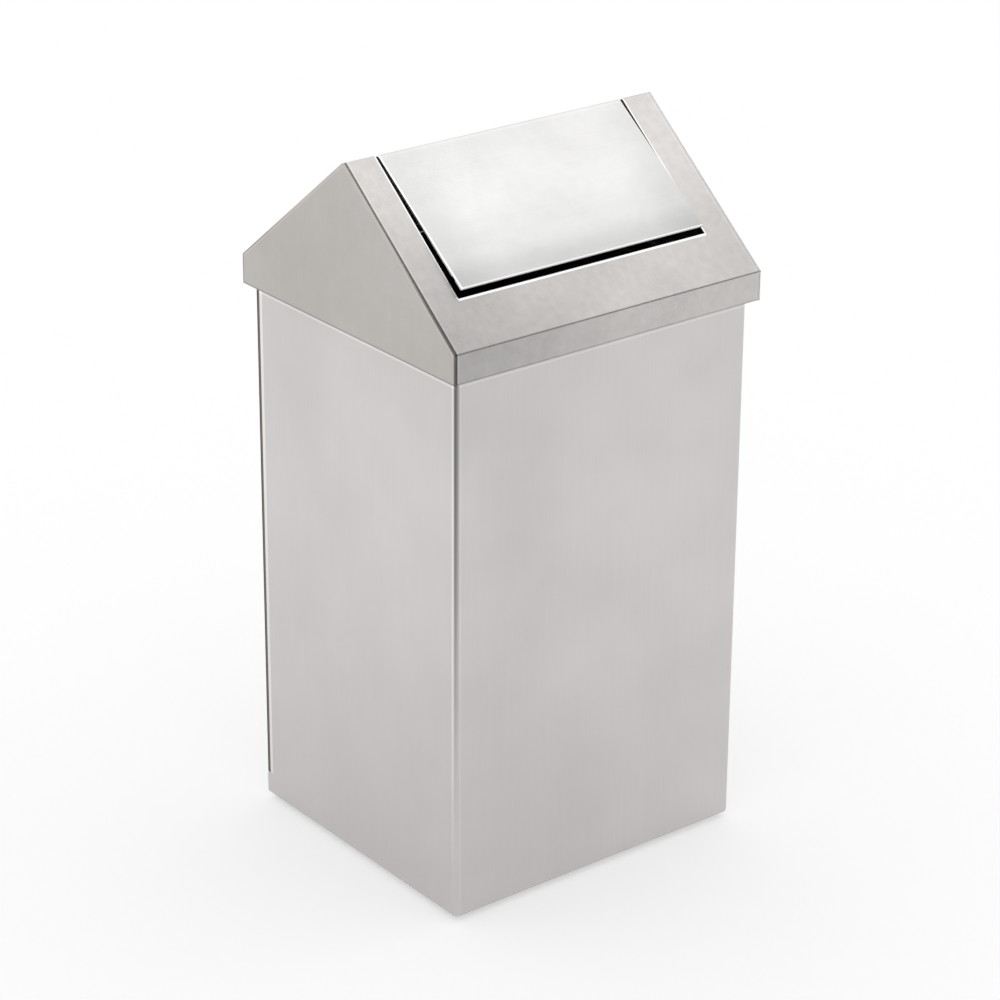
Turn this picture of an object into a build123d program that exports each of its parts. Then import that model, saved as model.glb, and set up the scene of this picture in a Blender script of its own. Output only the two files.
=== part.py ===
"""Floor-standing swing-top waste bin of folded stainless sheet.

A square-cornered body stands on four rubber feet and carries a loose gabled hood. The hood's
roof is cut away across the ridge, and a roof-shaped flap swings in that opening on an axle.
A ballast bar under the axle brings the flap back to its closed place from either side.

Millimetres. The origin is on the floor under the middle of the bin, +Z is up, X runs along
the ridge and -Y is the front.
"""

from build123d import *
from math import cos, radians, sin, tan
import os

os.makedirs("parts", exist_ok=True)

# Body and hood, outside sizes
body_width = 300.0  # along the ridge
body_depth = 274.0
rim_z = 501.0  # top edge of the body over the floor
hood_overhang = 7.5  # how far the hood stands out past each body wall
skirt_height = 25.5
skirt_overlap = 17.0  # how much of the skirt hangs below the body's rim
roof_pitch = 39.0  # degrees

# Sheet metal
sheet = 0.8  # stainless sheet of body, hood and flap
bend_inside = 1.6  # inside radius of the folds of hood and flap
body_bend_inside = 3.2  # inside radius of the folds of the body
hem = 8.0  # width of the closed hems on free edges
hem_relief = 4.0  # a hem stops this far short of the next fold
seam_depth = 0.5  # the open groove along a corner weld
seam_width = 1.8
slack = 0.1  # between pieces that are welded or laid against each other

# Base
foot_lift = 4.0  # clear height under the body
bottom_flange = 14.0
pan_wall = 16.0
foot_diameter = 18.0
foot_inset = 35.0  # foot centre from each outer wall
foot_recess_diameter = 8.5  # the recess that hides the rivet's head
foot_recess_depth = 1.5
rivet_diameter = 3.2
rivet_head_diameter = 6.5
rivet_head_height = 1.0
rivet_tail_diameter = 5.0
rivet_tail_height = 2.6

# Roof opening and flap
opening_width = 253.0
opening_slope = 140.0  # from the ridge down each slope
opening_hem = 6.0
flap_gap = 2.6  # between flap and opening at each side
flap_slope = 136.1
flap_pitch = 36.3  # flatter than the roof, so the lower edges stand proud
flap_drop = 0.3  # the flap's ridge below the hood's
flap_hem = 10.0

# Axle and what it carries
axle_drop = 44.0  # axle centre below the ridge
axle_diameter = 4.0
axle_end = 2.5  # axle past each hanger's clip
axle_chamfer = 0.4
running = 0.05  # radial clearance of a turning or drop-in fit
plate = 1.5  # thickness of hangers and ears
hanger_gap = 0.5  # inner face of each hanger past the opening's edge, under its hem
hanger_boss = 9.0
hanger_flange = 12.0
ear_inset = 27.5  # outer face of each ear from the flap's side edge
ear_half = 26.0  # half the ear's width where it meets the flap
ear_skirt = 6.0  # height of the ear's upright sides below the flap
ear_boss = 8.5
ear_flange = 12.0
bush_wall = 1.5
bush_head = 11.0
bush_head_height = 1.0
bush_tail = 2.0
bar_drop = 28.0  # ballast bar centre below the axle
bar_diameter = 10.0
bar_chamfer = 0.8
bar_past = 8.0  # how far the bar reaches past the hangers that stop it
stop_gap = 0.3  # bar to hanger edge at either end of the swing
end_play = 0.15  # from each bush's head to its clip
clip_diameter = 9.0
clip_thickness = 0.7

# Gables and the seat rails that carry the hood on the rim
gable_flange = 9.0
gable_relief = 14.0  # the gable's flanges stop this far short of ridge and eaves
rail_sheet = 1.0
rail_upstand = 12.0
rail_tongue = 14.0
rail_clearance = 0.6  # tongue to rim, all round

# Derived places
bend = bend_inside + sheet
body_bend = body_bend_inside + sheet
pitch = radians(roof_pitch)
flap_angle = radians(flap_pitch)
inner_width = body_width - 2 * sheet
inner_depth = body_depth - 2 * sheet
hood_width = body_width + 2 * hood_overhang
hood_depth = body_depth + 2 * hood_overhang
skirt_z = rim_z - skirt_overlap
eave_z = skirt_z + skirt_height
ridge_z = eave_z + hood_depth / 2 * tan(pitch)
flap_ridge_z = ridge_z - flap_drop
roof_slope = hood_depth / 2 / cos(pitch)
gable_face = hood_width / 2 - sheet  # inner face of each gable from the middle
roof_end = gable_face - slack
flap_width = opening_width - 2 * flap_gap
ear_face = flap_width / 2 - ear_inset  # outer face of each ear from the middle
hanger_face = opening_width / 2 + hanger_gap  # inner face of each hanger from the middle
pan_z = foot_lift + sheet + slack  # underside of the base pan
axle_z = ridge_z - axle_drop
axle_radius = axle_diameter / 2
axle_hole = axle_radius + running
bar_z = axle_z - bar_drop
bush_radius = axle_hole + bush_wall
bar_reach = hanger_face + plate + bar_past  # half the bar's length
hanger_clip = hanger_face + plate + slack  # where the outer clips begin
bush_clip = ear_face + bush_head_height + end_play  # where the inner clips begin
axle_half = hanger_clip + clip_thickness + axle_end


def finish(piece, name):
    """Labels a finished piece and writes it to a file of its own."""
    piece.part.label = name
    export_step(piece.part, f"parts/{name}.step")


def finish_pair(piece, name):
    """Writes a piece made on the right and its mirror image on the left."""
    finish(piece, f"{name}_right")
    with BuildPart() as twin:
        mirror(piece.part, about=Plane.YZ)
    finish(twin, f"{name}_left")


def slope(side, angle, top):
    """Plane on the slope that falls from the ridge to the front (-1) or the rear (1).

    Its y points up the slope and its z out of the roof.
    """
    return Plane(origin=(0, 0, top), x_dir=(-side, 0, 0), z_dir=(0, side * sin(angle), cos(angle)))


def under(angle, top, y, depth):
    """Height of the point at y that lies this depth under the slope's outer surface."""
    return top - depth / cos(angle) - abs(y) * tan(angle)


def roof_line(depth, foot=skirt_z):
    """Draws the roof's outline from front to rear, this far under its outer surface."""
    half = hood_depth / 2 - depth
    eave = under(pitch, ridge_z, half, depth)
    points = ((-half, foot), (-half, eave), (0, under(pitch, ridge_z, 0, depth)), (half, eave), (half, foot))
    return FilletPolyline(*points, radius=bend - depth)


def on_slope(side, angle, top, down, depth):
    """The point this far down a slope and this deep under its outer surface, as (y, z)."""
    y = side * (down * cos(angle) - depth * sin(angle))
    return (y, top - down * sin(angle) - depth * cos(angle))


def gusset(angle, top, depth, half, foot, boss_z, boss_radius):
    """Sketches an upright plate that narrows from this deep under two slopes to a boss."""
    with BuildSketch(mode=Mode.PRIVATE) as profile:
        with BuildLine():
            shoulder = under(angle, top, half, depth)
            peak = (0, under(angle, top, 0, depth))
            Polyline((-half, foot), (-half, shoulder), peak, (half, shoulder), (half, foot), close=True)
        make_face()
        with Locations((0, boss_z)):
            Circle(boss_radius)
        make_hull()
        fillet(profile.vertices().sort_by(Axis.Y)[-1], bend)
    return add(profile.sketch_local)


def slope_strips(angle, top, depth, thickness, across, start, end):
    """Flat strips against the underside of both slopes, from start to end down the slope.

    across holds the two distances from the middle, along the ridge, that the strips span.
    """
    for side in (-1, 1):
        with BuildSketch(slope(side, angle, top).offset(-depth)) as strip:
            with Locations((-side * sum(across) / 2, -(start + end) / 2)):
                Rectangle(abs(across[1] - across[0]), end - start)
        extrude(strip.sketch, amount=-thickness)


# ---------------------------------------------------------------- body
with BuildPart() as body_shell:
    with BuildSketch(Plane.XY.offset(foot_lift)):
        Rectangle(body_width, body_depth)
    extrude(amount=rim_z - foot_lift)
    uprights = body_shell.edges().filter_by(Axis.Z)
    seam_edge = uprights.sort_by(Axis.X)[:2].sort_by(Axis.Y)[-1:]
    fillet(uprights - seam_edge + body_shell.faces().sort_by(Axis.Z)[0].edges(), body_bend)
    offset(amount=-sheet, openings=body_shell.faces().sort_by(Axis.Z)[-1])
    with BuildSketch(Plane.XY.offset(foot_lift)):
        Rectangle(body_width - 2 * bottom_flange, body_depth - 2 * bottom_flange)
    extrude(amount=sheet, mode=Mode.SUBTRACT)
    # Closed hems, folded in along the rim and cut short at the corners
    with BuildSketch(Plane.XY.offset(rim_z)):
        Rectangle(inner_width, inner_depth - 2 * hem_relief)
        Rectangle(inner_width - 2 * hem_relief, inner_depth)
        Rectangle(inner_width - 2 * sheet, inner_depth - 2 * sheet, mode=Mode.SUBTRACT)
    extrude(amount=-hem)
    # Open groove of the corner weld at the rear left, above the base pan's wall
    with BuildSketch(Plane.XY.offset(foot_lift + pan_wall + body_bend)):
        with Locations((-body_width / 2, body_depth / 2)):
            Rectangle(2 * seam_depth, 2 * seam_width)
    extrude(until=Until.LAST, mode=Mode.SUBTRACT)
finish(body_shell, "body_shell")

# ---------------------------------------------------------------- base
foot_places = GridLocations(body_width - 2 * foot_inset, body_depth - 2 * foot_inset, 2, 2)

with BuildPart() as base_pan:
    with BuildSketch(Plane.XY.offset(pan_z)):
        Rectangle(inner_width - 2 * slack, inner_depth - 2 * slack)
    extrude(amount=pan_wall)
    fillet(base_pan.faces().sort_by(Axis.Z)[0].edges(), body_bend_inside)
    offset(amount=-sheet, openings=base_pan.faces().sort_by(Axis.Z)[-1])
    # Rivet holes, and reliefs that leave the folded corners open
    with BuildSketch(Plane.XY.offset(pan_z)):
        with foot_places:
            Circle(rivet_diameter / 2 + running)
        with GridLocations(inner_width, inner_depth, 2, 2):
            Rectangle(2 * hem_relief, 2 * hem_relief)
    extrude(amount=pan_wall, mode=Mode.SUBTRACT)
finish(base_pan, "base_pan")

foot_top = pan_z - slack
for place, corner in zip(foot_places, ("front_left", "rear_left", "front_right", "rear_right")):
    upright = Plane(origin=place.position, x_dir=(1, 0, 0), z_dir=(0, -1, 0))
    with BuildPart() as foot:
        with BuildSketch(upright):
            with BuildLine():
                Polyline(
                    (foot_recess_diameter / 2, 0),
                    (foot_diameter / 2, 0),
                    (foot_diameter / 2, foot_top),
                    (rivet_diameter / 2 + running, foot_top),
                    (rivet_diameter / 2 + running, foot_recess_depth),
                    (foot_recess_diameter / 2, foot_recess_depth),
                    close=True,
                )
            make_face()
        revolve(axis=Axis(place.position, (0, 0, 1)))
    finish(foot, f"foot_{corner}")

rivet_steps = (
    (foot_recess_depth, rivet_head_diameter, -rivet_head_height),
    (foot_recess_depth, rivet_diameter, pan_z + sheet - foot_recess_depth),
    (pan_z + sheet, rivet_tail_diameter, rivet_tail_height),
)
with BuildPart() as foot_rivets:
    for height, diameter, length in rivet_steps:
        with BuildSketch(Plane.XY.offset(height)):
            with foot_places:
                Circle(diameter / 2)
        extrude(amount=length)
finish(foot_rivets, "foot_rivets")

# ---------------------------------------------------------------- hood
with BuildPart() as hood_roof:
    with BuildSketch(Plane.YZ):
        with BuildLine():
            roof_line(0.0, skirt_z + sheet)
            offset(amount=sheet, side=Side.RIGHT)
        make_face()
        for side in (-1, 1):
            with Locations((side * (hood_depth / 2 - sheet), skirt_z + hem / 2)):
                SlotOverall(hem, 2 * sheet, rotation=90)
    extrude(amount=roof_end, both=True)
    # Opening across the ridge, with hems folded under along its edges
    for side in (-1, 1):
        with BuildSketch(slope(side, pitch, ridge_z)):
            with Locations((0, -opening_slope / 2)):
                Rectangle(opening_width, opening_slope)
        extrude(amount=bend, both=True, mode=Mode.SUBTRACT)
    hem_edge = opening_width / 2 + opening_hem
    for hand in (-1, 1):
        across = (hand * opening_width / 2, hand * hem_edge)
        slope_strips(pitch, ridge_z, sheet, sheet, across, hem_relief, opening_slope)
    across = (-hem_edge, hem_edge)
    slope_strips(pitch, ridge_z, sheet, sheet, across, opening_slope, opening_slope + opening_hem)
    # Open grooves of the corner welds, where the roof meets the gables
    for hand in (-1, 1):
        with BuildSketch(Plane.YZ.offset(hand * roof_end)) as groove:
            with BuildLine():
                roof_line(seam_depth)
                offset(amount=2 * seam_depth, side=Side.LEFT)
            make_face()
        extrude(groove.sketch, amount=-hand * seam_width, mode=Mode.SUBTRACT)
finish(hood_roof, "hood_roof")

with BuildPart() as gable:
    with BuildSketch(Plane.YZ.offset(gable_face)):
        with BuildLine():
            outline = roof_line(0.0)
            Line(outline @ 1, outline @ 0)
        make_face()
    extrude(amount=sheet)
    # Flanges folded in under the roof, and a hem along the skirt's lower edge
    slope_strips(
        pitch,
        ridge_z,
        sheet + slack,
        sheet,
        (gable_face - gable_flange, gable_face),
        gable_relief,
        roof_slope - gable_relief,
    )
    with BuildSketch(Plane.YZ.offset(gable_face)):
        with Locations((0, skirt_z + hem / 2)):
            Rectangle(hood_depth - 4 * sheet - 2 * hem_relief, hem)
    extrude(amount=-sheet)
finish_pair(gable, "gable")

# Z-section rails inside the gables: the web lies on the rim and the tongue drops inside it
tongue_face = body_width / 2 - 2 * sheet - rail_clearance
rail_length = inner_depth - 2 * sheet - 2 * rail_clearance
with BuildPart() as seat_rail:
    with BuildSketch(Plane.XZ):
        with BuildLine():
            FilletPolyline(
                (gable_face - slack, rim_z + rail_upstand),
                (gable_face - slack, rim_z + slack),
                (tongue_face - rail_sheet, rim_z + slack),
                (tongue_face - rail_sheet, rim_z - rail_tongue),
                radius=2 * rail_sheet,
            )
            offset(amount=rail_sheet, side=Side.RIGHT)
        make_face()
    extrude(amount=rail_length / 2, both=True)
finish_pair(seat_rail, "seat_rail")

# ---------------------------------------------------------------- hangers and axle
hanger_half = bar_drop - bar_diameter / 2 - stop_gap
hanger_depth = 2 * sheet + slack  # against the inside of the opening's hem
with BuildPart() as hanger:
    with BuildSketch(Plane.YZ.offset(hanger_face)):
        gusset(pitch, ridge_z, hanger_depth, hanger_half, axle_z, axle_z, hanger_boss)
        with Locations((0, axle_z)):
            Circle(axle_hole, mode=Mode.SUBTRACT)
    extrude(amount=plate)
    slope_strips(
        pitch,
        ridge_z,
        hanger_depth,
        plate,
        (hanger_face, hanger_face + hanger_flange),
        hem_relief,
        hanger_half / cos(pitch),
    )
finish_pair(hanger, "hanger")

with BuildPart() as axle:
    with BuildSketch(Plane.YZ):
        with Locations((0, axle_z)):
            Circle(axle_radius)
    extrude(amount=axle_half, both=True)
    chamfer(axle.faces().filter_by(Axis.X).edges(), axle_chamfer)
finish(axle, "axle")

# Push-on clips outside the hangers and outside the flap's bushes
clip_starts = (
    hanger_clip,
    -hanger_clip - clip_thickness,
    bush_clip,
    -bush_clip - clip_thickness,
)
with BuildPart() as axle_clips:
    for start in clip_starts:
        with BuildSketch(Plane.YZ.offset(start)):
            with Locations((0, axle_z)):
                Circle(clip_diameter / 2)
                Circle(axle_hole, mode=Mode.SUBTRACT)
        extrude(amount=clip_thickness)
finish(axle_clips, "axle_clips")

# ---------------------------------------------------------------- flap
with BuildPart() as flap_plate:
    with BuildSketch(Plane.YZ):
        with BuildLine():
            FilletPolyline(
                on_slope(-1, flap_angle, flap_ridge_z, flap_slope - sheet, 0),
                (0, flap_ridge_z),
                on_slope(1, flap_angle, flap_ridge_z, flap_slope - sheet, 0),
                radius=bend,
            )
            offset(amount=sheet, side=Side.RIGHT)
        make_face()
        for side in (-1, 1):
            with Locations(on_slope(side, flap_angle, flap_ridge_z, flap_slope - flap_hem / 2, sheet)):
                SlotOverall(flap_hem, 2 * sheet, rotation=-side * flap_pitch)
    extrude(amount=flap_width / 2, both=True)
    for hand in (-1, 1):
        edge = hand * flap_width / 2
        slope_strips(
            flap_angle,
            flap_ridge_z,
            sheet,
            sheet,
            (edge, edge - hand * hem),
            hem_relief,
            flap_slope - flap_hem - hem_relief,
        )
finish(flap_plate, "flap_plate")

ear_depth = sheet + slack
with BuildPart() as ear:
    with BuildSketch(Plane.YZ.offset(ear_face)):
        ear_foot = under(flap_angle, flap_ridge_z, ear_half, ear_depth) - ear_skirt
        gusset(flap_angle, flap_ridge_z, ear_depth, ear_half, ear_foot, bar_z, ear_boss)
        with Locations((0, axle_z)):
            Circle(bush_radius + running, mode=Mode.SUBTRACT)
        with Locations((0, bar_z)):
            Circle(bar_diameter / 2 + running, mode=Mode.SUBTRACT)
    extrude(amount=-plate)
    slope_strips(
        flap_angle,
        flap_ridge_z,
        ear_depth,
        plate,
        (ear_face, ear_face - ear_flange),
        hem_relief,
        ear_half / cos(flap_angle),
    )
finish_pair(ear, "ear")

with BuildPart() as bush:
    with BuildSketch(Plane.YZ.offset(ear_face)):
        with Locations((0, axle_z)):
            Circle(bush_head / 2)
    extrude(amount=bush_head_height)
    with BuildSketch(Plane.YZ.offset(ear_face)):
        with Locations((0, axle_z)):
            Circle(bush_radius)
    extrude(amount=-(plate + bush_tail))
    with BuildSketch(Plane.YZ.offset(ear_face)):
        with Locations((0, axle_z)):
            Circle(axle_hole)
    extrude(amount=plate + bush_tail, both=True, mode=Mode.SUBTRACT)
finish_pair(bush, "bush")

with BuildPart() as ballast_bar:
    with BuildSketch(Plane.YZ):
        with Locations((0, bar_z)):
            Circle(bar_diameter / 2)
    extrude(amount=bar_reach, both=True)
    chamfer(ballast_bar.faces().filter_by(Axis.X).edges(), bar_chamfer)
finish(ballast_bar, "ballast_bar")
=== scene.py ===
# %% [markdown]
# # A swing-top waste bin in satin stainless steel
#
# The bin is folded from thin stainless sheet. Its shapes are all sheet-metal shapes, so the
# solids of the frame already have them: the folds, the hems and the gaps round the flap. What is
# left for Blender is the finish of each sheet, the metal in the weld lines, and the light.

# %% Load the frame
import math

import bpy
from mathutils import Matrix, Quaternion, Vector


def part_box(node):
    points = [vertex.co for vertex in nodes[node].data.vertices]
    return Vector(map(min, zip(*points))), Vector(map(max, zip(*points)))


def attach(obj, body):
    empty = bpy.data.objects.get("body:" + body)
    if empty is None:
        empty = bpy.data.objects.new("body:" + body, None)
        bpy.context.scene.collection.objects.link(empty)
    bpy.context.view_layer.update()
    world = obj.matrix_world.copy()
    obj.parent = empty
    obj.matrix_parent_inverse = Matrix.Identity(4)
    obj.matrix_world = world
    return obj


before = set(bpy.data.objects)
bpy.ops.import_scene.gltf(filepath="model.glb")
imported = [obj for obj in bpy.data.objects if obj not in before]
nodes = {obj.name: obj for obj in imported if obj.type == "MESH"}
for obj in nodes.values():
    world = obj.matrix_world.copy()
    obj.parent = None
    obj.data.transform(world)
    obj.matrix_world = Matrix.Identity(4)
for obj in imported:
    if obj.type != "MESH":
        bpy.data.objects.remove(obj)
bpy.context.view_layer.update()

# %% [markdown]
# The camera stands at eye height, almost three metres away, with a long lens. A long lens keeps
# upright edges nearly parallel, which suits a tall box. The direction is given as an azimuth
# and an elevation round the aim point, because both are easy to judge: the azimuth sets how wide
# the two sides look, and the elevation how steeply their edges run.

# %% Camera
aim = Vector((-0.0013, -0.0031, 0.2970))
distance = 2.8875
azimuth = math.radians(-38.12)
elevation = math.radians(23.92)
roll = math.radians(0.372)
focal_length = 122.8
sensor_width = 36.0

bpy.ops.object.camera_add()
camera = bpy.context.object
camera.name = "camera"
camera.data.lens = focal_length
camera.data.sensor_width = sensor_width
toward = Vector(
    (
        math.sin(azimuth) * math.cos(elevation),
        -math.cos(azimuth) * math.cos(elevation),
        math.sin(elevation),
    )
)
camera.location = aim + toward * distance
camera.rotation_mode = "QUATERNION"
camera.rotation_quaternion = toward.to_track_quat("Z", "Y") @ Quaternion((0, 0, 1), roll)
bpy.context.scene.camera = camera
print("camera at", [round(v, 3) for v in camera.location])

# %% [markdown]
# Every light and every finish below is built from a handful of nodes, so these come first: a
# sum, a product, two ways from one range to another, and the three coordinates of a point.

# %% Node helpers


def calc(tree, operation, *values):
    """One Math node. Each value is a number or a socket."""
    node = tree.nodes.new("ShaderNodeMath")
    node.operation = operation
    for socket, value in zip(node.inputs, values):
        if isinstance(value, (int, float)):
            socket.default_value = value
        else:
            tree.links.new(value, socket)
    return node.outputs[0]


def product(tree, first, *others):
    """All the values multiplied, such as masks that have to hold at once."""
    for other in others:
        first = calc(tree, "MULTIPLY", first, other)
    return first


def inverse(tree, value):
    """1 minus a value."""
    return calc(tree, "SUBTRACT", 1.0, value)


def map_range(tree, value, start, end, low, high):
    """A Map Range node that takes start..end to low..high, and holds the value there."""
    node = tree.nodes.new("ShaderNodeMapRange")
    node.inputs["From Min"].default_value = start
    node.inputs["From Max"].default_value = end
    node.inputs["To Min"].default_value = low
    node.inputs["To Max"].default_value = high
    tree.links.new(value, node.inputs["Value"])
    return node


def between(tree, value, low, high, start=0.3, end=0.7):
    """Goes evenly from low to high as the value goes from start to end."""
    return map_range(tree, value, start, end, low, high).outputs["Result"]


def step(tree, value, start, end, low=0.0, high=1.0):
    """Goes softly from low to high as the value goes from start to end."""
    node = map_range(tree, value, start, end, low, high)
    node.interpolation_type = "SMOOTHSTEP"
    return node.outputs["Result"]


def parts_of(tree, vector):
    """The x, y and z of a vector."""
    split = tree.nodes.new("ShaderNodeSeparateXYZ")
    tree.links.new(vector, split.inputs[0])
    return split.outputs["X"], split.outputs["Y"], split.outputs["Z"]


# %% [markdown]
# Satin metal has hardly any colour of its own. It shows what stands round it, so a metal object
# is lit by giving it pale surfaces to mirror: a pale floor and a pale surround. A wholly white
# surround would leave the folds invisible, because a fold mirrors everything between what its
# two faces mirror. Dark boards stand where mostly the folds see them: one on the floor between
# the bin and the camera, which helps the upright folds to a dark line, and one low along the
# horizon in front, which does so for the eaves.

# %% Floor
floor_size = 16.0

bpy.ops.object.select_all(action="DESELECT")
bpy.ops.mesh.primitive_plane_add(size=floor_size)
floor = bpy.context.object
floor.name = "floor"
print("floor:", floor_size, "m wide")

# %% Dark board on the floor
board_bearing = Vector((-0.78, -0.62, 0.0)).normalized()
board_turn = (0.42, 0.86)  # how nearly a place is in line with the bearing: at first, and in full
board_reach = (0.22, 1.25)  # metres along the bearing, to the same two
board_grey = 0.42
bin_shade_reach = (0.75, 0.30)  # metres from the bin, to where its own shade starts and is full
bin_shade_grey = 0.90
shortest = 0.001


def toward_board(tree, x, y):
    """How nearly a place is in line with the board, how far along it, and how far away."""
    length = calc(tree, "SQRT", calc(tree, "MULTIPLY_ADD", x, x, product(tree, y, y)))
    part = product(tree, y, board_bearing.y)
    along = calc(tree, "MULTIPLY_ADD", x, board_bearing.x, part)
    in_line = calc(tree, "DIVIDE", along, calc(tree, "MAXIMUM", length, shortest))
    return in_line, along, length


def floor_board(tree):
    """How pale the floor is as the metal mirrors it: 1, falling to dark along the board."""
    x, y, _ = parts_of(tree, tree.nodes.new("ShaderNodeTexCoord").outputs["Object"])
    in_line, along, length = toward_board(tree, x, y)
    wedge = step(tree, in_line, *board_turn)
    fall = step(tree, step(tree, along, *board_reach), 0.0, 1.0, 0.0, 1.0 - board_grey)
    board = inverse(tree, product(tree, wedge, fall))
    shade = product(tree, board, step(tree, length, *bin_shade_reach, 1.0, bin_shade_grey))
    mirrored = tree.nodes.new("ShaderNodeLightPath").outputs["Is Glossy Ray"]
    return inverse(tree, product(tree, inverse(tree, shade), mirrored))


print("board bearing", [round(v, 3) for v in board_bearing])

# %% Floor finish
floor_colour = 0.80
floor_glow = 0.36


def seen_directly(tree):
    """Adds a value that is 1 for camera, glossy and transmission rays, and 0 for the rest."""
    path = tree.nodes.new("ShaderNodeLightPath")
    either = calc(tree, "MAXIMUM", path.outputs["Is Camera Ray"], path.outputs["Is Glossy Ray"])
    return calc(tree, "MAXIMUM", either, path.outputs["Is Transmission Ray"])


def lift_floor(material, colour, glow):
    """A matt floor that keeps its shadows and is a little brighter where it is seen directly."""
    tree = material.node_tree
    tree.nodes.clear()
    shade = floor_board(tree)
    matt = tree.nodes.new("ShaderNodeBsdfDiffuse")
    tree.links.new(product(tree, shade, colour), matt.inputs["Color"])
    light = tree.nodes.new("ShaderNodeEmission")
    lit = product(tree, shade, glow, seen_directly(tree))
    tree.links.new(lit, light.inputs["Strength"])
    both = tree.nodes.new("ShaderNodeAddShader")
    output = tree.nodes.new("ShaderNodeOutputMaterial")
    tree.links.new(matt.outputs[0], both.inputs[0])
    tree.links.new(light.outputs[0], both.inputs[1])
    tree.links.new(both.outputs[0], output.inputs[0])


floor_finish = bpy.data.materials.new("pale_floor")
floor_finish.use_nodes = True
lift_floor(floor_finish, floor_colour, floor_glow)
floor.data.materials.append(floor_finish)
print("floor finish:", floor_finish.name)

# %% Surround
horizon_front = (0.15, -0.25)  # the direction's y, where the dark starts and is full
horizon_height = (math.sin(math.radians(38.0)), math.sin(math.radians(14.0)))  # and its z
horizon_grey = 0.10
soft_light = 0.80


def horizon_board(tree):
    """How pale the surround is as the metal mirrors it: dark low down in front."""
    _, y, z = parts_of(tree, tree.nodes.new("ShaderNodeTexCoord").outputs["Generated"])
    front = step(tree, y, *horizon_front)
    low = step(tree, z, *horizon_height)
    return inverse(tree, product(tree, front, low, 1.0 - horizon_grey))


world = bpy.data.worlds.new("pale_surround")
bpy.context.scene.world = world
world.use_nodes = True
tree = world.node_tree
tree.nodes.clear()
mirrored = tree.nodes.new("ShaderNodeLightPath").outputs["Is Glossy Ray"]
direct = seen_directly(tree)
# The board's grey where it is mirrored, 1 where it is seen directly, and soft for the rest
board = product(tree, horizon_board(tree), mirrored)
plain = calc(tree, "SUBTRACT", direct, mirrored)
rest = product(tree, inverse(tree, direct), soft_light)
light = tree.nodes.new("ShaderNodeBackground")
light.inputs["Color"].default_value = (1, 1, 1, 1)
brightness = calc(tree, "ADD", calc(tree, "ADD", board, plain), rest)
tree.links.new(brightness, light.inputs["Strength"])
output = tree.nodes.new("ShaderNodeOutputWorld")
tree.links.new(light.outputs[0], output.inputs[0])
print("surround:", world.name)

# %% [markdown]
# The pale surround alone lights all sides much alike. One soft lamp over the right end of the
# hood makes its slopes brighter than the upright sides. The brightness is what the lamp's own
# surface would show, where 1 is white, and the watts follow from its size.

# %% Lamp
lamp_place = Vector((0.45, -0.14, 1.20))
lamp_target = Vector((0.04, -0.03, 0.60))
lamp_side = 0.40
lamp_brightness = 0.34

bpy.ops.object.light_add(type="AREA", location=lamp_place)
lamp = bpy.context.object
lamp.name = "roof_lamp"
lamp.data.shape = "RECTANGLE"
lamp.data.size = lamp_side
lamp.data.size_y = lamp_side
lamp.data.energy = lamp_brightness * math.pi * lamp_side * lamp_side
lamp.rotation_mode = "QUATERNION"
lamp.rotation_quaternion = (lamp_place - lamp_target).to_track_quat("Z", "Y")
print("lamp watts:", round(lamp.data.energy, 3))

# %% [markdown]
# Satin stainless is a metal with a fine grain. Three things make it read as sheet rather than
# as grey paint: short bright and dark streaks along the grain, wide faint clouds where the sheet
# was handled and polished unevenly, and a slight waviness that bends the reflections. All three
# come from noise on the object's own coordinates, stretched along the grain, so that they keep
# their scale on every piece and stay with it when it moves.

# %% Colour and noise helpers


def noise(tree, places, size, detail, stretch=(1.0, 1.0, 1.0), offset=(0.0, 0.0, 0.0)):
    """Noise whose features are about this size in metres, stretched along the axes."""
    mapping = tree.nodes.new("ShaderNodeMapping")
    mapping.inputs["Location"].default_value = offset
    mapping.inputs["Scale"].default_value = [1.0 / (size * s) for s in stretch]
    texture = tree.nodes.new("ShaderNodeTexNoise")
    texture.inputs["Scale"].default_value = 1.0
    texture.inputs["Detail"].default_value = detail
    tree.links.new(places, mapping.inputs["Vector"])
    tree.links.new(mapping.outputs["Vector"], texture.inputs["Vector"])
    return texture.outputs["Fac"]


def blend(tree, factor, first, second):
    """A colour between two, by a factor."""
    node = tree.nodes.new("ShaderNodeMix")
    node.data_type = "RGBA"
    tree.links.new(factor, node.inputs["Factor"])
    for socket, value in ((node.inputs[6], first), (node.inputs[7], second)):
        if isinstance(value, tuple):
            socket.default_value = (*value, 1)
        else:
            tree.links.new(value, socket)
    return node.outputs[2]


def times(tree, colour, factor):
    """A colour made lighter or darker by a factor."""
    node = tree.nodes.new("ShaderNodeVectorMath")
    node.operation = "SCALE"
    tree.links.new(colour, node.inputs[0])
    tree.links.new(factor, node.inputs["Scale"])
    return node.outputs["Vector"]


def bump(tree, height, distance, strength, under=None):
    """Turns a height into a normal, on top of another one."""
    node = tree.nodes.new("ShaderNodeBump")
    node.inputs["Distance"].default_value = distance
    node.inputs["Strength"].default_value = strength
    tree.links.new(height, node.inputs["Height"])
    if under is not None:
        tree.links.new(under, node.inputs["Normal"])
    return node.outputs["Normal"]


# %% Satin sheet
cloud_size = 0.10
streak_size = 0.0012
streak_depth = 0.012
streak_height = 0.00002
streak_strength = 0.5
wave_size = 0.13
wave_height = 0.001
wave_strength = 0.25
satin_roughness = 0.36
roughness_spread = 0.04


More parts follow.
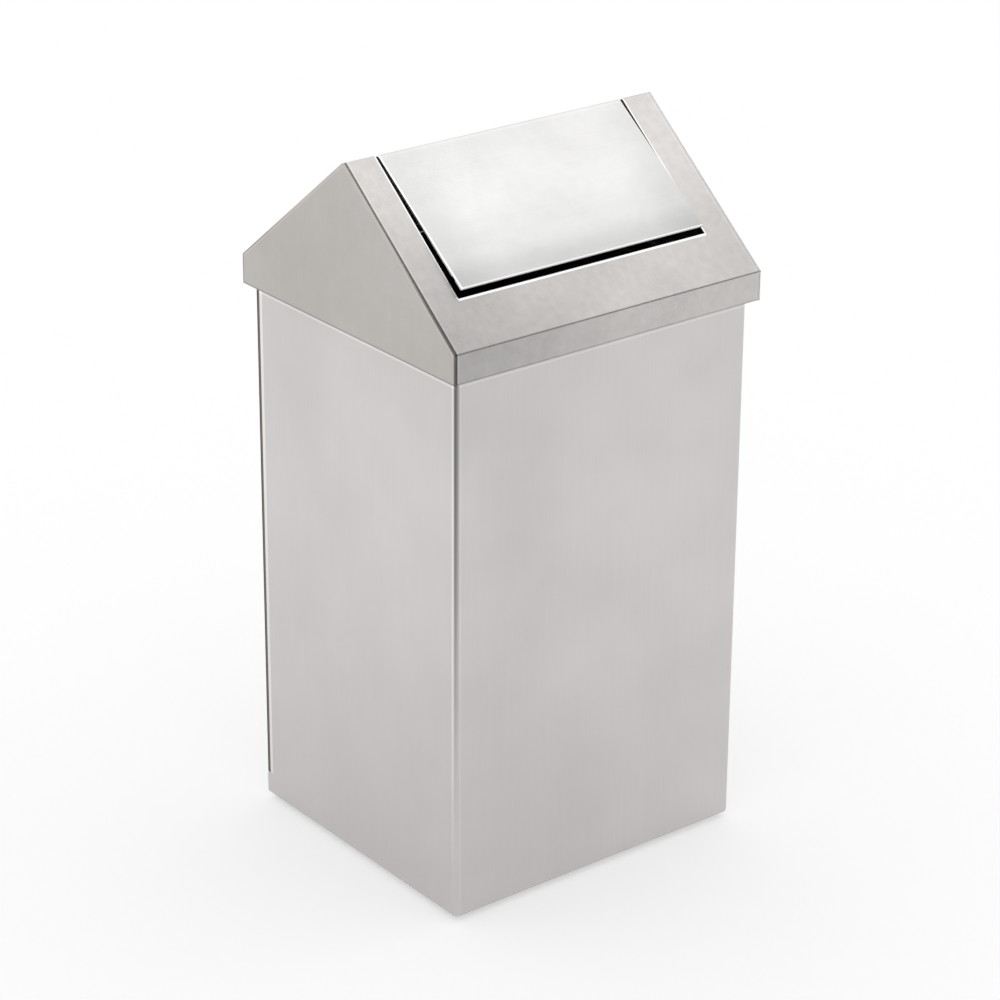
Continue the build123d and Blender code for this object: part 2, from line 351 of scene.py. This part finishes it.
def finish_named(name, metallic, roughness):
    """A new material with its shader, and its object coordinates."""
    material = bpy.data.materials.new(name)
    material.use_nodes = True
    tree = material.node_tree
    shader = tree.nodes["Principled BSDF"]
    shader.inputs["Metallic"].default_value = metallic
    shader.inputs["Roughness"].default_value = roughness
    places = tree.nodes.new("ShaderNodeTexCoord").outputs["Object"]
    return material, tree, shader, places


def satin_sheet(name, pale, dark, grain, marks, roughness=satin_roughness):
    """Brushed sheet. grain stretches the streaks along x, y and z, and marks adds its own wear."""
    material, tree, shader, places = finish_named(name, 1.0, roughness)
    clouds = noise(tree, places, cloud_size, detail=3.0)
    colour = blend(tree, between(tree, clouds, 0.0, 1.0), dark, pale)
    lines = noise(tree, places, streak_size, detail=2.0, stretch=grain)
    colour = times(tree, colour, between(tree, lines, 1 - streak_depth, 1 + streak_depth))
    colour = marks(tree, places, colour)
    tree.links.new(colour, shader.inputs["Base Color"])
    gloss = between(tree, clouds, roughness + roughness_spread, roughness - roughness_spread)
    tree.links.new(gloss, shader.inputs["Roughness"])
    waves = bump(tree, noise(tree, places, wave_size, detail=1.0), wave_height, wave_strength)
    fine = bump(tree, lines, streak_height, streak_strength, under=waves)
    tree.links.new(fine, shader.inputs["Normal"])
    return material


def dress(material, *names):
    """Gives pieces of the frame their finish."""
    for name in names:
        slots = nodes[name].material_slots
        for slot in slots:
            slot.material = material
        if not slots:
            nodes[name].data.materials.append(material)
    print(material.name, "on", ", ".join(names))


# %% [markdown]
# A folded and welded bin is marked where it was worked. Each mark could be painted on an image,
# but here it is a mask on the coordinates, measured from the piece's own box, so it sits exactly
# on its fold or edge. The distances of a mark are millimetres from such a line. A ramp has the
# one where it starts and the one where it is full, and a strip has its two sides and the
# softness of its edges. A tone says how much lighter or darker the mark is than the sheet.

# %% Lines that the marks are measured from
mm = 0.001
body_low, body_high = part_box("body_shell")
hood_low, hood_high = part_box("gable_left")
flap_low, flap_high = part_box("flap_plate")
half_width = -hood_low[0]
half_depth = hood_high[1]
skirt_foot = hood_low[2]
eave = skirt_foot + 25.5 * mm
roof_pitch = math.radians(39.0)
sharp_ridge = eave + half_depth * math.tan(roof_pitch)
fold_radius = 2.4 * mm
print("eave:", round(eave, 4), "sharp ridge:", round(sharp_ridge, 4))

# %% Masks and tints
# painted highlight along the cut edges beside the flap's gaps
gap_edge_highlight = (0.98, 0.98, 0.98)
# the right gable's burnished edge, and a painted highlight along the flap's lower edge
burnish_and_highlight = (0.86, 0.855, 0.85)
# painted shade: the undersides of the roof and the flap are made dark
inside_shade = 0.40
spot_shift = (0.31, 0.17, 0.53)
spot_range, speck_range, patch_range = (0.25, 0.75), (0.35, 0.75), (0.45, 0.65)
specks_per_spot = 6
spots_per_patch = 8


def ramp(tree, value, line, start, full):
    """A mask that goes softly from 0 to 1 between two distances from a line."""
    return step(tree, value, line + start * mm, line + full * mm)


def strip(tree, value, line, low, high, soft):
    """A mask that is 1 between two distances from a line, with soft edges."""
    rise = ramp(tree, value, line, low - soft, low)
    return product(tree, rise, ramp(tree, value, line, high + soft, high))


def marked(tree, colour, tint, *masks):
    """Lays a tint over a colour where all the masks hold."""
    return blend(tree, product(tree, *masks), colour, tint)


def shaded(tree, colour, tone, *masks):
    """Makes a colour lighter or darker by a tone where all the masks hold."""
    return times(tree, colour, step(tree, product(tree, *masks), 0.0, 1.0, 1.0, tone))


def mottled(tree, places, colour, size, depth):
    """Faint spots, as fingers and water leave them, with fine specks in patches."""
    spots = noise(tree, places, size, detail=4.0, offset=spot_shift)
    colour = times(tree, colour, between(tree, spots, 1 - depth, 1 + depth, *spot_range))
    specks = noise(tree, places, size / specks_per_spot, detail=2.0)
    specks = between(tree, specks, 0.0, 1.0, *speck_range)
    patches = noise(tree, places, spots_per_patch * size, detail=2.0)
    patches = between(tree, patches, 0.0, 1.0, *patch_range)
    return shaded(tree, colour, 1 - 2 * depth, specks, patches)


print("tints:", gap_edge_highlight, burnish_and_highlight)

# %% [markdown]
# The body is one sheet, brushed upright, folded round and closed by a weld at the rear left. The
# outside of the front fold gets painted shade, strongest near the rim, with painted highlights
# beside it, and the front face is a little darker towards that fold. A painted highlight runs just
# under the foot of the hood's skirt, and the front gets a little painted light near the floor. At
# the weld the heat has left the metal dark, with a crater where the weld ends, and the sheet
# beside it was ground bright.

# %% Body sheet
upright_grain = (1.0, 1.0, 90.0)
body_fold_end = 4.0 * mm
front_fold = body_low[0] - body_low[1]  # x - y along the middle of the front fold
weld_foot = body_low[2] + 22.4 * mm
outer_skin = (1.2, 0.4)
# the front face a little darker towards its left end
front_fade_width, front_fade_tone = (230.0, 0.0), 0.985
fold_left, fold_right, fold_side = (-4.2, -2.2), (2.4, -1.6), (8.0, 6.0)
# painted shade on the outside of the front fold, strongest near the rim
fold_low, fold_shade_tone = 0.03, 0.46
# painted highlight on the body just under the foot of the hood's skirt
under_skirt_highlight_front, under_skirt_highlight_front_tone = (-5.8, -4.8, 0.4), 1.12
under_skirt_highlight_left, under_skirt_highlight_left_tone = (-6.8, -5.0, 0.6), 1.20
# painted light on the front face near the floor
painted_foot_light, painted_foot_light_tone = (90.0, 10.0), 1.04
ground_strip, ground_tone = (-7.8, -5.0, 0.8), 1.30
# painted highlights beside the front fold, on the left face and on the front face
fold_highlight_left, fold_highlight_left_fade, fold_highlight_left_tone = (-0.6, 1.6, 0.6), (-50.0, 250.0), 1.22
fold_highlight_front, fold_highlight_front_tone = (0.0, 0.4, 0.4), 1.14
heat_strip, heat_tint = (-4.6, -4.0), (0.17, 0.155, 0.145)
weld_end, crater_strip, crater_tint = (-1.0, 1.0), (0.0, 1.4, 0.4), (0.03, 0.028, 0.026)


def fold_shade_mask(tree, x, y, z):
    """Where the front fold gets painted shade, fading from the rim down to the foot."""
    across = calc(tree, "SUBTRACT", x, y)
    left = ramp(tree, across, front_fold, *fold_left)
    right = ramp(tree, across, front_fold, *fold_right)
    near = ramp(tree, x, body_low[0], *fold_side)
    return product(tree, left, right, near, between(tree, z, 0.0, 1.0, fold_low, skirt_foot))


def body_marks(tree, places, colour):
    """Painted shade at the front fold, painted highlights beside it and under the skirt, painted
    light low on the front, a darker front end, and the weld.
    """
    x, y, z = parts_of(tree, places)
    left = ramp(tree, x, body_low[0], *outer_skin)
    front = ramp(tree, y, body_low[1], *outer_skin)
    front_fade = ramp(tree, x, body_low[0], *front_fade_width)
    colour = shaded(tree, colour, front_fade_tone, front, front_fade)
    colour = shaded(tree, colour, fold_shade_tone, fold_shade_mask(tree, x, y, z))
    under_skirt_highlight = strip(tree, z, skirt_foot, *under_skirt_highlight_front)
    colour = shaded(tree, colour, under_skirt_highlight_front_tone, front, under_skirt_highlight)
    under_skirt_highlight = strip(tree, z, skirt_foot, *under_skirt_highlight_left)
    colour = shaded(tree, colour, under_skirt_highlight_left_tone, left, under_skirt_highlight)
    colour = shaded(tree, colour, painted_foot_light_tone, front, ramp(tree, z, 0.0, *painted_foot_light))
    # painted highlight beside the front fold
    fold_highlight = strip(tree, y, body_low[1] + body_fold_end, *fold_highlight_left)
    fade = ramp(tree, z, 0.0, *fold_highlight_left_fade)
    colour = shaded(tree, colour, fold_highlight_left_tone, left, fold_highlight, fade)
    fold_highlight = strip(tree, x, body_low[0] + body_fold_end, *fold_highlight_front)
    colour = shaded(tree, colour, fold_highlight_front_tone, front, fold_highlight)
    above = ramp(tree, z, weld_foot, *weld_end)
    ground = strip(tree, y, body_high[1], *ground_strip)
    colour = shaded(tree, colour, ground_tone, left, ground, above)
    heat = product(tree, left, ramp(tree, y, body_high[1], *heat_strip))
    colour = marked(tree, colour, heat_tint, heat, above)
    return marked(tree, colour, crater_tint, heat, strip(tree, z, weld_foot, *crater_strip))


body_sheet = satin_sheet(
    "body_sheet",
    pale=(0.655, 0.636, 0.628),
    dark=(0.63, 0.611, 0.603),
    grain=upright_grain,
    marks=body_marks,
)
dress(body_sheet, "body_shell", "base_pan")

# %% [markdown]
# The roof's grain runs down its slopes. It gets a painted highlight along the ridge, painted shade
# towards the eaves, and more painted shade on its left part, lower down. It is the most handled
# sheet, so it has the most spots. The cut edges round the opening get a painted highlight, and the
# strip beside each weld is bright. Under the roof the sheet is painted dark, as painted shade, and
# the foot of the skirt gets a thin line of painted shade.

# %% Roof sheet
down_slope = (1.0, 60.0, 60.0)
opening_half = 126.5 * mm
opening_run = 140.0 * mm * math.cos(roof_pitch)
left_end, right_end = (10.0, -10.0), (-10.0, 10.0)
roof_spots, roof_depth = 0.007, 0.055
# painted shade towards the eaves
eave_shade_tone = 0.885
# painted highlight along the roof's ridge; the flap's ridge uses the same tone
ridge_highlight_line, ridge_highlight_tone = (2.0, 0.8), 1.06
# painted shade on the roof's left part, more so lower down
left_shade_from, left_shade_run, left_shade_tone = 60.0 * mm, -30.0 * mm, 0.82
under_sheet, inside_skirt = (-0.6, -1.0), (-1.0, -3.0)
gap_lip, foot_lip, lip_end = (-0.5, 1.0, 0.3), (-0.5, 1.4, 0.4), (1.0, 0.0)
weld_side, weld_side_tone = (-4.4, -3.4, 0.5), 1.10
roof_heat, roof_heat_tone = (-3.2, -2.8), 0.45
# painted shade along the foot of the skirt
skirt_foot_shade, skirt_foot_shade_tone = (1.8, 1.0), 0.72


def height_at_ridge(tree, run, z, pitch):
    """How high the slope through a place would meet the middle."""
    return calc(tree, "MULTIPLY_ADD", run, math.tan(pitch), z)


def roof_marks(tree, places, colour):
    """Spotted, with painted highlights at ridge and opening, painted shade, and bright strips by
    the welds.
    """
    x, y, z = parts_of(tree, places)
    side = calc(tree, "ABSOLUTE", x)
    run = calc(tree, "ABSOLUTE", y)
    colour = mottled(tree, places, colour, roof_spots, roof_depth)
    colour = shaded(tree, colour, eave_shade_tone, step(tree, run, 0.0, half_depth))
    colour = shaded(tree, colour, ridge_highlight_tone, ramp(tree, run, 0.0, *ridge_highlight_line))
    leftwards = step(tree, x, left_shade_from, hood_low[0])
    downwards = step(tree, run, left_shade_run, half_depth)
    colour = shaded(tree, colour, left_shade_tone, leftwards, downwards)
    under = ramp(tree, height_at_ridge(tree, run, z, roof_pitch), sharp_ridge, *under_sheet)
    inside = ramp(tree, run, half_depth, *inside_skirt)
    colour = shaded(tree, colour, inside_shade, under, inside)
    beside = strip(tree, side, opening_half, *gap_lip)
    colour = marked(tree, colour, gap_edge_highlight, beside, ramp(tree, run, opening_run, *lip_end))
    below = strip(tree, run, opening_run, *foot_lip)
    colour = marked(tree, colour, gap_edge_highlight, below, ramp(tree, side, opening_half, *lip_end))
    colour = shaded(tree, colour, weld_side_tone, strip(tree, side, half_width, *weld_side))
    heat = ramp(tree, side, half_width, *roof_heat)
    colour = shaded(tree, colour, roof_heat_tone, heat, ramp(tree, x, 0.0, *left_end))
    return shaded(tree, colour, skirt_foot_shade_tone, ramp(tree, z, skirt_foot, *skirt_foot_shade))


roof_sheet = satin_sheet(
    "roof_sheet",
    pale=(0.66, 0.64, 0.625),
    dark=(0.62, 0.60, 0.585),
    grain=down_slope,
    marks=roof_marks,
)
dress(roof_sheet, "hood_roof")

# %% [markdown]
# The gables are cut plates, darker than the rest and brushed upright. Each is bright just under
# the roof, where its weld was ground. The left one's edge was browned by the heat, more so lower
# down, and the right one's edge was burnished clean.

# %% Gable sheet
gable_spots, gable_depth = 0.012, 0.018
under_roof, under_roof_tone = (-3.0, -1.6, 0.6), 1.10
plate_edge = (-1.1, -0.7)
browned_from, browned_tone = 30.0 * mm, 0.35


def gable_marks(tree, places, colour):
    """Bright under the roof, painted shade along the foot of the skirt, and marked along the weld.
    """
    x, y, z = parts_of(tree, places)
    run = calc(tree, "ABSOLUTE", y)
    colour = mottled(tree, places, colour, gable_spots, gable_depth)
    line = height_at_ridge(tree, run, z, roof_pitch)
    colour = shaded(tree, colour, under_roof_tone, strip(tree, line, sharp_ridge, *under_roof))
    slope_edge = ramp(tree, line, sharp_ridge, *plate_edge)
    skirt_side = ramp(tree, run, half_depth, *plate_edge)
    edge = calc(tree, "MAXIMUM", slope_edge, skirt_side)
    low = step(tree, z, sharp_ridge - browned_from, eave)
    colour = shaded(tree, colour, browned_tone, edge, low, ramp(tree, x, 0.0, *left_end))
    colour = marked(tree, colour, burnish_and_highlight, edge, ramp(tree, x, 0.0, *right_end))
    return shaded(tree, colour, skirt_foot_shade_tone, ramp(tree, z, skirt_foot, *skirt_foot_shade))


gable_sheet = satin_sheet(
    "gable_sheet",
    pale=(0.53, 0.505, 0.485),
    dark=(0.50, 0.475, 0.455),
    grain=upright_grain,
    marks=gable_marks,
)
dress(gable_sheet, "gable_left", "gable_right")

# %% [markdown]
# The flap is pushed and wiped every day. Its sheet is the brightest, with the grain along the
# ridge. Painted shade along its borders, over its right part and over its lower part leaves the
# middle brightest. Its ridge and its cut edges get painted highlights, and its underside is
# painted dark, as painted shade.

# %% Flap sheet
along_ridge = (60.0, 1.0, 1.0)
flap_pitch = math.radians(36.3)
flap_ridge = flap_high[2] + fold_radius * (1 / math.cos(flap_pitch) - 1)
flap_spots, flap_depth = 0.010, 0.024
# painted shade along the flap's borders, over its right part, its lower part and its foot
border_shade_width, border_shade_run, border_shade_tone = (-55.0, 0.0), (-40.0, 70.0), 0.90
right_shade_from, right_shade_run, right_shade_tone = 20.0 * mm, (10.0, 80.0), 0.95
lower_shade_from, lower_shade_full, lower_shade_tone = 30.0 * mm, 20.0 * mm, 0.95
foot_shade, foot_shade_tone = (-30.0, 0.0), 0.82
# painted highlight along the flap's ridge
flap_ridge_highlight = (5.0, 1.0)
under_flap = (-0.6, -0.9)
cut_side, cut_foot = (2.0, 1.3), (-1.4, -0.8)


def flap_marks(tree, places, colour):
    """Painted shade at the borders and underneath, and painted highlights on the ridge and cut
    edges.
    """
    x, y, z = parts_of(tree, places)
    side = calc(tree, "ABSOLUTE", x)
    run = calc(tree, "ABSOLUTE", y)
    colour = mottled(tree, places, colour, flap_spots, flap_depth)
    border = ramp(tree, side, flap_high[0], *border_shade_width)
    colour = shaded(tree, colour, border_shade_tone, border, ramp(tree, run, 0.0, *border_shade_run))
    right = step(tree, x, right_shade_from, flap_high[0])
    colour = shaded(tree, colour, right_shade_tone, right, ramp(tree, run, 0.0, *right_shade_run))
    lower = step(tree, run, lower_shade_from, flap_high[1] - lower_shade_full)
    colour = shaded(tree, colour, lower_shade_tone, lower)
    foot = ramp(tree, run, flap_high[1], *foot_shade)
    colour = shaded(tree, colour, foot_shade_tone, foot)
    colour = shaded(tree, colour, ridge_highlight_tone, ramp(tree, run, 0.0, *flap_ridge_highlight))
    under = ramp(tree, height_at_ridge(tree, run, z, flap_pitch), flap_ridge, *under_flap)
    colour = shaded(tree, colour, inside_shade, under)
    # painted highlights on the flap's lower and side edges
    colour = marked(tree, colour, burnish_and_highlight, ramp(tree, run, flap_high[1], *cut_foot))
    return marked(tree, colour, gap_edge_highlight, ramp(tree, x, flap_low[0], *cut_side))


flap_sheet = satin_sheet(
    "flap_sheet",
    pale=(0.77, 0.766, 0.756),
    dark=(0.72, 0.715, 0.705),
    grain=along_ridge,
    marks=flap_marks,
)
dress(flap_sheet, "flap_plate")

# %% [markdown]
# The brackets that the hood hides are bent from unpolished sheet. Their colour is painted dark,
# as painted shade, so the gaps beside the flap stay dark, and they are rougher than the rest.

# %% Bracket sheet
scale_spots, scale_depth = 0.008, 0.05
scale_roughness = 0.5


def inner_marks(tree, places, colour):
    """Mill scale left on the brackets that the hood hides."""
    return mottled(tree, places, colour, scale_spots, scale_depth)


# painted shade: the hidden brackets get a dark colour so the gaps stay dark
shade_dark_sheet = satin_sheet(
    "shade_dark_sheet",
    pale=(0.20, 0.195, 0.19),
    dark=(0.16, 0.155, 0.15),
    grain=upright_grain,
    marks=inner_marks,
    roughness=scale_roughness,
)
for side in ("left", "right"):
    dress(shade_dark_sheet, f"seat_rail_{side}", f"hanger_{side}", f"ear_{side}")

# %% [markdown]
# The small parts are not sheet. The axle and the ballast bar are drawn rod, with fine lines along
# their length. The clips are dark spring steel, the bushes are nylon, the rivets are turned and
# the feet are moulded rubber. Each gets the colour, gloss and surface of its own material, though
# most are only seen when the hood is lifted or the flap swings open.

# %% Rods, clips and rivets
drawn_line = 0.0006
drawn_cloud = 0.02
drawn_dark = 0.88
drawn_lines = (0.96, 1.04)
turned_grain = (6.0, 6.0, 1.0)
no_grain = (1.0, 1.0, 1.0)
line_relief = 0.00002
relief_strength = 0.6


def rod_metal(name, colour, roughness, stretch):
    """Drawn or turned metal with fine lines in one direction."""
    material, tree, shader, places = finish_named(name, 1.0, roughness)
    lines = noise(tree, places, drawn_line, detail=2.0, stretch=stretch)
    clouds = between(tree, noise(tree, places, drawn_cloud, detail=2.0), 0.0, 1.0)
    tint = blend(tree, clouds, tuple(drawn_dark * c for c in colour), colour)
    lined = times(tree, tint, between(tree, lines, *drawn_lines))
    tree.links.new(lined, shader.inputs["Base Color"])
    tree.links.new(bump(tree, lines, line_relief, relief_strength), shader.inputs["Normal"])
    return material


drawn_rod = rod_metal("drawn_rod", (0.84, 0.83, 0.81), roughness=0.20, stretch=along_ridge)
spring_steel = rod_metal("spring_steel", (0.22, 0.21, 0.20), roughness=0.40, stretch=no_grain)
rivet_metal = rod_metal("rivet_metal", (0.60, 0.59, 0.58), roughness=0.30, stretch=turned_grain)
dress(drawn_rod, "axle", "ballast_bar")
dress(spring_steel, "axle_clips")
dress(rivet_metal, "foot_rivets")

# %% Bushes and feet
scuff_size = 0.006
scuff_pale = 1.25
scuff_gloss = 0.08


def moulded(name, colour, roughness, grain, depth):
    """Moulded plastic or rubber with a fine texture and faint scuffs."""
    material, tree, shader, places = finish_named(name, 0.0, roughness)
    texture = noise(tree, places, grain, detail=3.0)
    scuffs = noise(tree, places, scuff_size, detail=4.0)
    pale = tuple(min(1.0, scuff_pale * c) for c in colour)
    tint = blend(tree, between(tree, scuffs, 0.0, 1.0), colour, pale)
    tree.links.new(tint, shader.inputs["Base Color"])
    gloss = between(tree, scuffs, roughness - scuff_gloss, roughness + scuff_gloss)
    tree.links.new(gloss, shader.inputs["Roughness"])
    tree.links.new(bump(tree, texture, depth, relief_strength), shader.inputs["Normal"])
    return material


nylon = moulded(
    "white_nylon", (0.72, 0.70, 0.64), roughness=0.42, grain=0.0015, depth=0.00002
)
rubber = moulded(
    "black_rubber", (0.028, 0.027, 0.026), roughness=0.62, grain=0.0012, depth=0.00005
)
for side in ("left", "right"):
    dress(nylon, f"bush_{side}")
    dress(rubber, f"foot_front_{side}", f"foot_rear_{side}")

# %% [markdown]
# The gables are welded to the roof along all its corners, and the body is closed by one upright
# weld at the rear left. A ground weld shows as a thin dull line. It could be painted into the
# sheet's material, but a line that follows folded corners is easier to model. The line is drawn
# first, as an edge that is extruded from point to point, with an arc at each fold.

# %% Drawing a line
arc_pieces = 6
merge_distance = 1e-6


def only(piece):
    """Deselects everything, then selects one object and makes it active."""
    bpy.ops.object.select_all(action="DESELECT")
    piece.select_set(True)
    bpy.context.view_layer.objects.active = piece


def drawn_edge(name, points):
    """An edge drawn through points, as a mesh with its origin at zero."""
    bpy.ops.object.select_all(action="DESELECT")
    bpy.ops.mesh.primitive_plane_add(size=0.01)
    edge = bpy.context.object
    edge.name = name
    # One corner of the plane is kept, as the first point of the line
    first = edge.data.vertices[0].co.copy()
    bpy.ops.object.mode_set(mode="EDIT")
    bpy.ops.mesh.select_all(action="DESELECT")
    bpy.ops.object.mode_set(mode="OBJECT")
    for vertex in edge.data.vertices:
        vertex.select = vertex.index > 0
    bpy.ops.object.mode_set(mode="EDIT")
    bpy.ops.mesh.select_mode(type="VERT")
    bpy.ops.mesh.delete(type="VERT")
    bpy.ops.mesh.select_all(action="SELECT")
    bpy.ops.transform.translate(value=points[0] - first)
    for point, after in zip(points, points[1:]):
        bpy.ops.mesh.extrude_vertices_move(TRANSFORM_OT_translate={"value": after - point})
    bpy.ops.object.mode_set(mode="OBJECT")
    return edge


def rounded(points, radius):
    """The points of a line with its inner corners turned into arcs of this radius."""
    path = [points[0]]
    for before, point, after in zip(points, points[1:], points[2:]):
        back = (before - point).normalized()
        on = (after - point).normalized()
        turn = math.pi - back.angle(on)
        centre = point + (back + on).normalized() * radius / math.cos(turn / 2)
        spoke = point + back * radius * math.tan(turn / 2) - centre
        axis = (-back).cross(on)
        turns = [turn * k / arc_pieces for k in range(arc_pieces + 1)]
        path += [centre + Quaternion(axis, angle) @ spoke for angle in turns]
    return path + [points[-1]]


def face_out(piece):
    """Merges a closed piece's doubled points and turns all its faces outwards."""
    only(piece)
    bpy.ops.object.mode_set(mode="EDIT")
    bpy.ops.mesh.select_all(action="SELECT")
    bpy.ops.mesh.remove_doubles(threshold=merge_distance)
    bpy.ops.mesh.normals_make_consistent(inside=False)
    bpy.ops.object.mode_set(mode="OBJECT")


# %% [markdown]
# The hood's welds were ground flush. The edge is pulled sideways into a narrow strip, and the
# strip gets the thickness that fills the groove of the sheet metal, a little below its outside.

# %% Hood welds
groove_width = 1.8 * mm
groove_room = 0.1 * mm
weld_sunk = 0.12 * mm
weld_thick = 0.34 * mm
crease_angle = math.radians(40)


def strip_along(edge, across, thickness):
    """Turns a drawn edge into a strip of this thickness, pulled sideways by a vector."""
    only(edge)
    bpy.ops.object.mode_set(mode="EDIT")
    bpy.ops.mesh.select_all(action="SELECT")
    bpy.ops.mesh.extrude_edges_move(TRANSFORM_OT_translate={"value": across})
    bpy.ops.mesh.select_all(action="SELECT")
    bpy.ops.mesh.normals_make_consistent(inside=False)
    bpy.ops.object.mode_set(mode="OBJECT")
    thick = edge.modifiers.new("thickness", "SOLIDIFY")
    thick.thickness = thickness
    thick.offset = 0.0
    bpy.ops.object.modifier_apply(modifier="thickness")
    face_out(edge)
    bpy.ops.object.shade_smooth_by_angle(angle=crease_angle)
    return edge


def hood_weld(name, x, across, sink):
    """The weld round one end of the hood, with its middle this far under the sheet's outside."""
    y = half_depth - sink
    drop = sink / math.cos(roof_pitch)
    shoulder = sharp_ridge - drop - y * math.tan(roof_pitch)
    corners = [
        Vector((x, -y, skirt_foot)),
        Vector((x, -y, shoulder)),
        Vector((x, 0, sharp_ridge - drop)),
        Vector((x, y, shoulder)),
        Vector((x, y, skirt_foot)),
    ]
    edge = drawn_edge(name, rounded(corners, fold_radius - sink))
    return strip_along(edge, across, weld_thick)


roof_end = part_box("hood_roof")[1][0]
hood_welds = []
for side, hand in (("left", -1), ("right", 1)):
    across = Vector((-hand * (groove_width - groove_room), 0, 0))
    sink = weld_sunk + weld_thick / 2
    weld = hood_weld(f"hood_weld_{side}", hand * roof_end, across, sink)
    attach(weld, "hood")
    hood_welds.append(weld)
    print(weld.name, "faces:", len(weld.data.polygons))

# %% [markdown]
# The body's weld was left as laid, so it stays a round bead. A curve's own bevel makes a bead in
# one step, with closed ends, and the curve is then turned back into a mesh.

# %% Body weld
body_bead = 0.6 * mm
bead_inset = 0.8 * mm


def bead_along(edge, radius):
    """Turns a drawn edge into a round bead with closed ends."""
    only(edge)
    bpy.ops.object.convert(target="CURVE")
    edge.data.bevel_depth = radius
    edge.data.bevel_resolution = 2
    edge.data.use_fill_caps = True
    bpy.ops.object.convert(target="MESH")
    face_out(edge)
    bpy.ops.object.shade_smooth()
    return edge


bead_foot = Vector((body_low[0] + body_bead, body_high[1] - bead_inset, weld_foot))
bead_top = Vector((bead_foot.x, bead_foot.y, body_high[2]))
body_weld = bead_along(drawn_edge("body_weld", [bead_foot, bead_top]), body_bead)
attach(body_weld, "bin")
print(body_weld.name, "faces:", len(body_weld.data.polygons))

# %% [markdown]
# Weld metal is dull and uneven. The left weld of the hood and the body's weld kept the brown of
# the heat, and the hood's right weld was cleaned.

# %% Weld metal
weld_grain = 0.002
weld_relief = 0.0002
weld_roughness = 0.5


def weld_metal(name, dark, pale, low_down):
    """A weld, uneven along its length and darker low down on the hood."""
    material, tree, shader, places = finish_named(name, 1.0, weld_roughness)
    spots = noise(tree, places, weld_grain, detail=3.0)
    colour = blend(tree, between(tree, spots, 0.0, 1.0), dark, pale)
    _, _, z = parts_of(tree, places)
    colour = shaded(tree, colour, low_down, step(tree, z, sharp_ridge, eave))
    tree.links.new(colour, shader.inputs["Base Color"])
    tree.links.new(bump(tree, spots, weld_relief, relief_strength), shader.inputs["Normal"])
    return material


brown_weld = weld_metal(
    "ground_weld", dark=(0.20, 0.18, 0.165), pale=(0.30, 0.28, 0.26), low_down=0.55
)
clean_weld = weld_metal(
    "clean_weld", dark=(0.62, 0.61, 0.60), pale=(0.74, 0.73, 0.72), low_down=0.90
)
for weld, finish in zip([*hood_welds, body_weld], (brown_weld, clean_weld, brown_weld)):
    weld.data.materials.append(finish)
    print(finish.name, "on", weld.name)

# %% [markdown]
# The Standard view shows each colour about as it is written.

# %% View transform
view = bpy.context.scene.view_settings
view.view_transform = "Standard"
